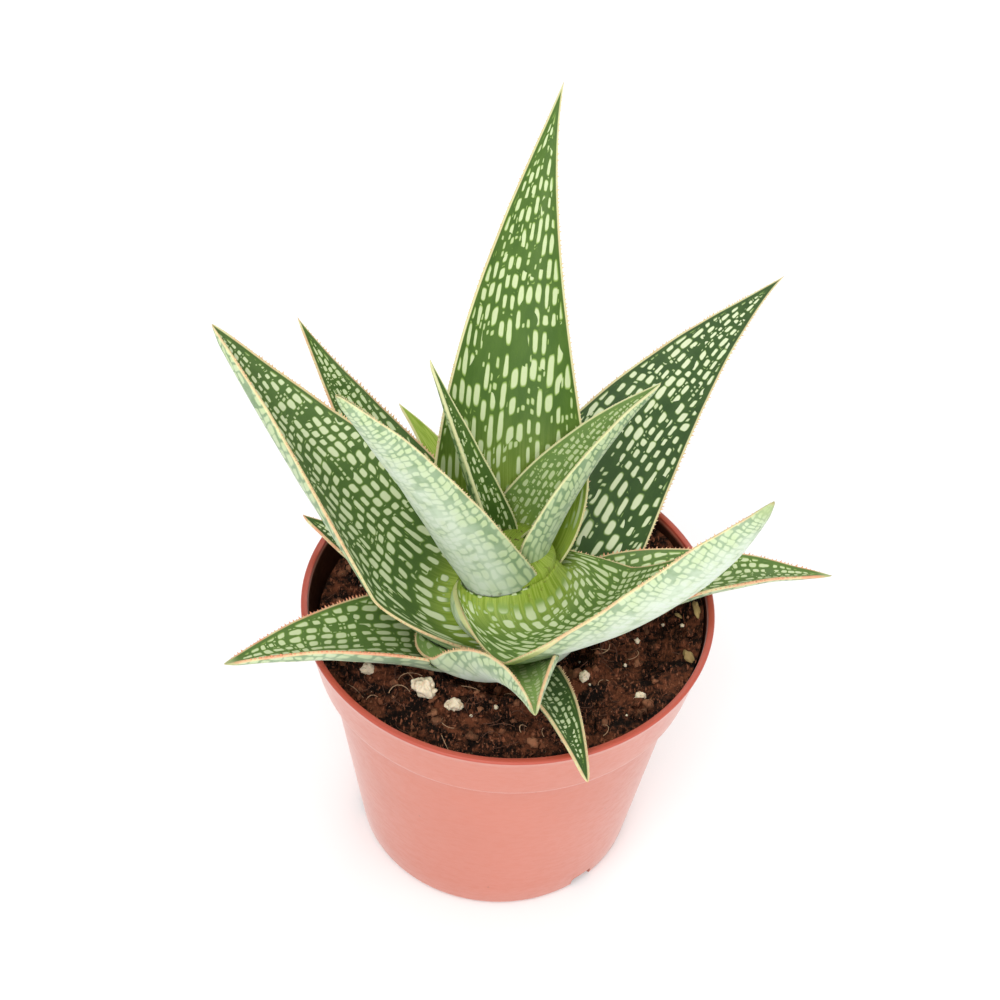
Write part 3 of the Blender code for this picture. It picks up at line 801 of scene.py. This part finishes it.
def soil_height(x, y):
    """Height of the soil in millimetres, with the hollow under the crown."""
    bumps = 1.1 * noise(Vector((x, y, 0)) / 7) + 0.6 * noise(Vector((x, y, 9)) / 3.5)
    ground = eased((math.hypot(x, y) - HOLLOW_RADIUS) / HOLLOW_BANK)
    return HOLLOW_FLOOR + ground * (SOIL_LEVEL - HOLLOW_FLOOR + bumps) + heaped(x, y)


def crumble(x, y):
    """The fine lumps on top of soil_height."""
    lumps = 0.0
    for size, depth in ((3.4, 0.75), (1.6, 0.50), (0.8, 0.25)):
        lumps += depth * abs(noise(Vector((x, y, 40 * size)) / size)) * 1.6
    return lumps - 0.45


def make_peat():
    peat, tree, shader = new_finish("peat", 0.9)
    place = object_place(tree)
    coarse = speckle(tree, place, 240.0, 3.0, 0.6)
    medium = speckle(tree, place, 950.0, 4.0, 0.7)
    strands = speckle(tree, stretched(tree, place, (1.0, 0.25, 1.0)), 2200.0, 3.0, 0.6)
    tone = maths(tree, "MULTIPLY_ADD", coarse, 0.45, maths(tree, "MULTIPLY", medium, 0.55))
    clods = speckle(tree, place, 210.0, 2.0)
    tone = maths(tree, "ADD", tone, maths(tree, "MULTIPLY_ADD", clods, 0.50, -0.25))
    colour = blend(tree, ramp(tree, tone, 0.42, 0.66), paint(18, 9, 5), paint(112, 63, 41))
    colour = blend(tree, stored(tree, "crumb_tint"), colour, paint(176, 120, 88))
    colour = blend(tree, ramp(tree, strands, 0.55, 0.68, 0.0, 0.7), colour, paint(168, 104, 76))
    sparks = speckle(tree, place, 2900.0, 2.0, 0.7)
    colour = blend(tree, ramp(tree, sparks, 0.70, 0.75, 0.0, 0.6), colour, paint(226, 190, 158))
    tree.links.new(colour, shader.inputs["Base Color"])
    shader.inputs["Specular IOR Level"].default_value = 0.15
    relief(tree, shader, maths(tree, "ADD", medium, strands), 0.9, 0.5 * MM)
    return peat


def make_soil(peat):
    bed = tuple((SOIL_EDGE * (1 - ring / SOIL_RINGS), SOIL_LEVEL) for ring in range(SOIL_RINGS))
    soil = turned("potting_soil_bed", SOIL_WALL + bed, 200, SOIL_LEVEL)
    points = places(soil)
    top = points[:, 2] > (SOIL_LEVEL - 0.01) * MM
    for index in np.nonzero(top)[0]:
        x, y = points[index, :2] / MM
        rim = min(1.0, (SOIL_EDGE - math.hypot(x, y)) / 1.2)
        points[index, :2] *= 1 + HEAP_SPREAD * heaped(x, y) / SOIL_EDGE
        points[index, 2] = (soil_height(x, y) + crumble(x, y) * rim) * MM
    move_points(soil, points)
    smooth(soil)
    finish(soil, peat, "potting_soil")


def lump(name, size, detail, seed, roughness):
    """A rough round lump, size in millimetres."""
    bpy.ops.mesh.primitive_ico_sphere_add(subdivisions=detail, radius=0.5 * size * MM)
    item = named(name)
    points = places(item)
    for index, point in enumerate(points):
        spot = Vector(point) / (0.5 * size * MM)
        swell = 1 + roughness * noise(spot * 1.3 + Vector((seed * 3.1, 0, 0)))
        swell += 0.4 * roughness * noise(spot * 3.1 + Vector((0, seed * 5.7, 0)))
        points[index] = point * swell
    move_points(item, points)
    return item


def clear_of_crown(x, y):
    return math.hypot(x, y) > CROWN_ROOM


def make_crumbs(peat):
    """Loose lumps of peat all over the bed."""
    chance = np.random.default_rng(7)
    patterns = [lump(f"crumb_{k}", 1.0, 2 if k < 4 else 1, k, 0.9) for k in range(8)]
    crumbs = []
    while len(crumbs) < CRUMBS:
        x, y, radius = scattered(chance, 38.4, 0.12)
        size = 0.45 + 1.9 * chance.uniform() ** 4
        if not clear_of_crown(x, y) or radius + 0.5 * size > 38.8:
            continue
        crumb = linked_copy(patterns[int(chance.integers(4)) + (0 if size > 0.9 else 4)])
        crumb.location = (x * MM, y * MM, (soil_height(x, y) + 0.18 * size) * MM)
        crumb.rotation_euler = tuple(chance.uniform(0, 2 * math.pi, 3))
        crumb.scale = tuple(size * chance.uniform(0.6, 1.2, 3))
        store(crumb, "crumb_tint", np.full(len(crumb.data.vertices), 0.75 * chance.uniform() ** 4))
        crumbs.append(crumb)
    heap = joined("peat_crumbs", crumbs)
    settle(heap)
    smooth(heap)
    discard(patterns)
    finish(heap, peat)


def make_chips():
    """Bits of pale bark lying against the wall where the soil is heaped."""
    bark, tree, shader = new_finish("bark", 0.8)
    colour = blend(tree, speckle(tree, object_place(tree), 500.0), paint(118, 90, 52), paint(180, 156, 100))
    tree.links.new(colour, shader.inputs["Base Color"])
    chips = []
    for number, (x, y, width, length, turn) in enumerate(CHIPS):
        chip = lump("chip", 1.0, 3, 60 + number, 0.5)
        chip.location = (x * MM, y * MM, (soil_height(x, y) + 0.5) * MM)
        chip.rotation_euler = (0.1, 0.3, math.radians(turn))
        chip.scale = (width, length, 0.6 * width)
        chips.append(chip)
    whole = joined("bark_chips", chips)
    settle(whole)
    smooth(whole)
    finish(whole, bark)


def fibre_track(chance):
    """A curved line over the bed, picked by chance, in millimetres."""
    x, y, _ = scattered(chance, 37.0, 0.18)
    heading = chance.uniform(0, 2 * math.pi)
    bend = chance.uniform(-0.5, 0.5)
    step = chance.uniform(2.0, 6.0) / FIBRE_STEPS
    lift = chance.uniform(0.2, 0.9)
    track = []
    for number in range(FIBRE_STEPS + 1):
        rise = 0.35 + lift * math.sin(math.pi * number / FIBRE_STEPS)
        track.append((x, y, soil_height(x, y) + rise))
        x += step * math.cos(heading)
        y += step * math.sin(heading)
        heading += bend
    return track


def make_fibres():
    """Thin pale and dark strands of peat moss and root lying on the bed."""
    chance = np.random.default_rng(21)
    for name, count, low, high in FIBRES:
        fibre, tree, shader = new_finish(name, 0.8)
        colour = blend(tree, speckle(tree, object_place(tree), 300.0), paint(*low), paint(*high))
        tree.links.new(colour, shader.inputs["Base Color"])
        curve = bpy.data.curves.new("fibres", "CURVE")
        curve.dimensions = "3D"
        curve.bevel_depth = 0.075 * MM
        curve.bevel_resolution = 0
        curve.use_fill_caps = True
        while len(curve.splines) < count:
            track = fibre_track(chance)
            if any(not clear_of_crown(x, y) or math.hypot(x, y) > 37.8 for x, y, _ in track):
                continue
            spline = curve.splines.new("POLY")
            spline.points.add(FIBRE_STEPS)
            for point, (x, y, z) in zip(spline.points, track):
                point.co = (x * MM, y * MM, z * MM, 1.0)
                point.radius = chance.uniform(0.6, 1.4)
        item = bpy.data.objects.new(name + "s", curve)
        bpy.context.scene.collection.objects.link(item)
        only(item)
        bpy.ops.object.convert(target="MESH")
        finish(bpy.context.object, fibre)


def make_perlite_white():
    white, tree, shader = new_finish("perlite_white", 0.9)
    place = object_place(tree)
    dirt = speckle(tree, place, 900.0, 3.0)
    colour = blend(tree, ramp(tree, dirt, 0.50, 0.72, 0.0, 0.6), paint(232, 216, 188), paint(190, 160, 124))
    tree.links.new(colour, shader.inputs["Base Color"])
    relief(tree, shader, speckle(tree, place, 2600.0, 3.0), 0.7, 0.25 * MM)
    shader.inputs["Subsurface Weight"].default_value = 0.1
    shader.inputs["Subsurface Scale"].default_value = 0.6 * MM
    return white


def make_perlite():
    """The large grains where the part has them, and small ones between."""
    white = make_perlite_white()
    for number in range(1, 6):
        node = f"perlite_{number}"
        low, high = (Vector(corner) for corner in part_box(node))
        size = 1000 * (high.x - low.x + high.y - low.y) / 2
        pieces = []
        for which, (share, apart) in enumerate(GRAIN_LUMPS):
            grain = lump(node, size * share, 4, number * 7 + which, 0.42)
            turn = -0.75 + 0.4 * number + which * math.pi
            away = apart * size * MM
            shift = Vector((away * math.cos(turn), away * math.sin(turn), -0.05 * which * size * MM))
            grain.location = 0.5 * (low + high) + shift
            settle(grain)
            pieces.append(grain)
        whole = joined(f"perlite_grain_{number}", pieces)
        applied(whole, "REMESH", mode="VOXEL", voxel_size=size * MM / 45)
        smooth(whole)
        finish(whole, white, node)
    chance = np.random.default_rng(5)
    small = []
    while len(small) < SMALL_GRAINS:
        x, y, _ = scattered(chance, 37.0, 0.2)
        size = 0.45 + 0.9 * chance.uniform() ** 2
        grain = lump("small_grain", size, 2, len(small), 0.6)
        grain.location = (x * MM, y * MM, (soil_height(x, y) + 0.3 * size + 0.2) * MM)
        small.append(grain)
    dust = joined("small_perlite", small)
    settle(dust)
    smooth(dust)
    finish(dust, white)


# Crown --------------------------------------------------------------

CROWN_PROFILE = ((8.6, 56.0), (9.0, 61.0), (CROWN_RADIUS, 67.0), (8.97, 78.6), (8.3, 79.8), (6.0, 81.0))
CROWN_TOP = 81.8


def make_crown(skin):
    """The fleshy stem top that the leaves leave, seen between their bases."""
    crown = turned("crown", CROWN_PROFILE, 120, CROWN_TOP)
    points = places(crown)
    radii = 1000 * np.hypot(points[:, 0], points[:, 1])
    turn = np.degrees(np.arctan2(points[:, 1], points[:, 0])) % 360
    store(crown, "skin_mix", np.tile((0.3, 0.85, 0.1), (len(points), 1)))
    store(crown, "skin_place", np.tile((0.0, 9.0, 0.0), (len(points), 1)))
    store(crown, "skin_tip", np.zeros(len(points)))
    skin_map = crown.data.uv_layers[0] if crown.data.uv_layers else crown.data.uv_layers.new(name="skin")
    skin_map.name = "skin"
    for face in crown.data.polygons:
        turns = [turn[crown.data.loops[corner].vertex_index] for corner in face.loop_indices]
        wrap = max(turns) - min(turns) > 180
        for corner, angle in zip(face.loop_indices, turns):
            vertex = crown.data.loops[corner].vertex_index
            angle += 360 if wrap and angle < 180 else 0
            skin_map.data[corner].uv = (angle / 8.0 + 900, radii[vertex] / 3.0)
    smooth(crown)
    finish(crown, skin, "stem")


# Stage, light and camera --------------------------------------------

FLOOR_SIZE = 6.0
SKY_STRENGTH = 0.80
LIGHT_AIM = (0, 0, 0.08)
# Each light: name, power, size and place.
LIGHTS = (
    ("key", 5.0, 0.7, (-0.25, -0.60, 0.85)),
    ("front", 3.5, 0.9, (0.05, -0.95, 0.22)),
    ("fill", 2.0, 0.8, (0.70, -0.45, 0.55)),
    ("back", 2.0, 0.7, (0.15, 0.70, 0.75)),
)
CAMERA_TARGET = Vector((-3.0, 0.0, 93.9)) * MM
CAMERA_DISTANCE = 350.6 * MM
CAMERA_ELEVATION = math.radians(44.4)
CAMERA_ROLL = math.radians(3.57)
CAMERA_LENS = 64.8


def make_stage():
    bpy.ops.object.select_all(action="DESELECT")
    bpy.ops.mesh.primitive_plane_add(size=FLOOR_SIZE, location=(0, 0, -0.4 * MM))
    floor = named("floor")
    settle(floor)
    white, tree, shader = new_finish("floor_white", 0.9)
    shade = blend(tree, speckle(tree, object_place(tree), 3.0), (0.90, 0.90, 0.90), (0.92, 0.92, 0.92))
    tree.links.new(shade, shader.inputs["Base Color"])
    floor.data.materials.append(white)


def soft_light(name, power, size, location):
    light = bpy.data.lights.new(name, "AREA")
    light.energy = power
    light.shape = "DISK"
    light.size = size
    item = bpy.data.objects.new(name, light)
    bpy.context.scene.collection.objects.link(item)
    item.location = location
    item.rotation_euler = (Vector(LIGHT_AIM) - Vector(location)).to_track_quat("-Z", "Y").to_euler()


def make_light():
    world = bpy.data.worlds.new("studio")
    world.use_nodes = True
    sky = world.node_tree.nodes["Background"]
    sky.inputs["Color"].default_value = (1.0, 1.0, 1.0, 1.0)
    sky.inputs["Strength"].default_value = SKY_STRENGTH
    bpy.context.scene.world = world
    for light in LIGHTS:
        soft_light(*light)


def make_camera():
    lens = bpy.data.cameras.new("camera")
    lens.sensor_width = 36.0
    lens.lens = CAMERA_LENS
    lens.clip_start = 0.01
    camera = bpy.data.objects.new("camera", lens)
    bpy.context.scene.collection.objects.link(camera)
    back = Vector((0, -math.cos(CAMERA_ELEVATION), math.sin(CAMERA_ELEVATION)))
    look = (-back).to_track_quat("-Z", "Y").to_matrix().to_4x4()
    place = Matrix.Translation(CAMERA_TARGET + back * CAMERA_DISTANCE)
    camera.matrix_world = place @ look @ Matrix.Rotation(CAMERA_ROLL, 4, "Z")
    bpy.context.scene.camera = camera


bpy.context.scene.view_settings.view_transform = "Standard"
make_camera()
make_pot()
peat_finish = make_peat()
make_soil(peat_finish)
make_crumbs(peat_finish)
make_chips()
make_fibres()
make_perlite()
leaf_skin = make_leaf_skin()
make_crown(leaf_skin)
make_leaves(leaf_skin)
make_stage()
make_light()
